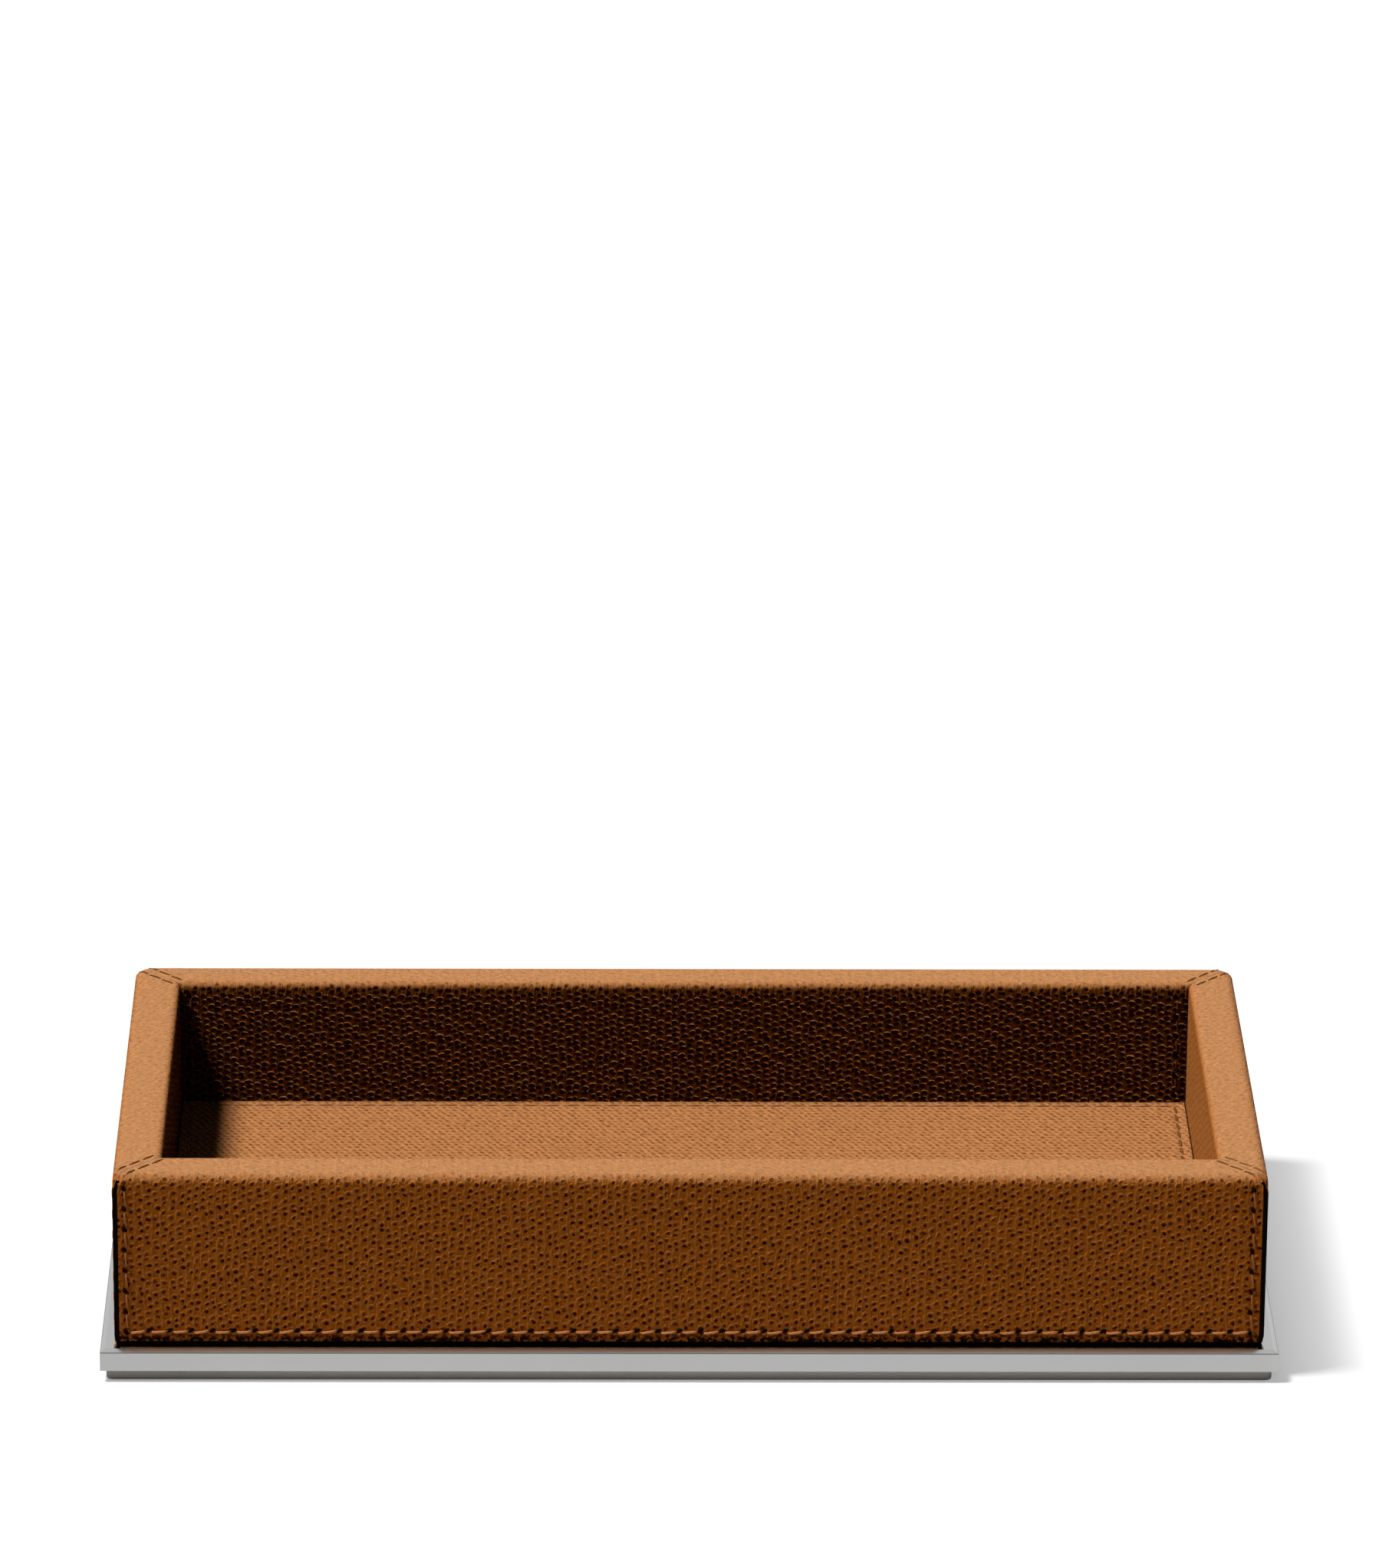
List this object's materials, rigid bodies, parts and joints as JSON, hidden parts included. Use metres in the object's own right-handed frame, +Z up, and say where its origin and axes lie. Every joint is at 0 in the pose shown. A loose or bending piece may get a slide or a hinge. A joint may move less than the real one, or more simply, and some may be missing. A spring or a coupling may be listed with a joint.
{
  "type": "valet tray",
  "caption": "Long low leather-covered valet tray with stitched edges and floor, standing on a bevelled polished metal base plate.",
  "frame": {"origin": "centre of the underside of the rubber underlay", "axes": "+X along the length, +Y from the front face to the back face, +Z up out of the tray's mouth"},
  "size_m": [0.246, 0.1204, 0.0459],
  "materials": {
    "leather": "pebbled cowhide, tan, softly worn sheen",
    "thread": "waxed sewing thread, tan",
    "board": "fibreboard, raw",
    "card": "pressed card, raw",
    "plate": "polished stainless steel with a bright bevel",
    "screw": "zinc plated",
    "underlay": "matte dark grey rubber"
  },
  "bodies": {
    "root": {"front_cover": "leather", "back_cover": "leather", "left_cover": "leather", "right_cover": "leather", "floor_leather": "leather", "front_stitches": "thread", "back_stitches": "thread", "left_stitches": "thread", "right_stitches": "thread", "seam_stitches": "thread", "inner_stitches": "thread", "floor_stitches": "thread", "front_board": "board", "back_board": "board", "left_board": "board", "right_board": "board", "bottom_board": "board", "corner_splines": "board", "floor_card": "card", "base_plate": "plate", "base_screws": "screw", "base_underlay": "underlay"}
  },
  "joints": []
}
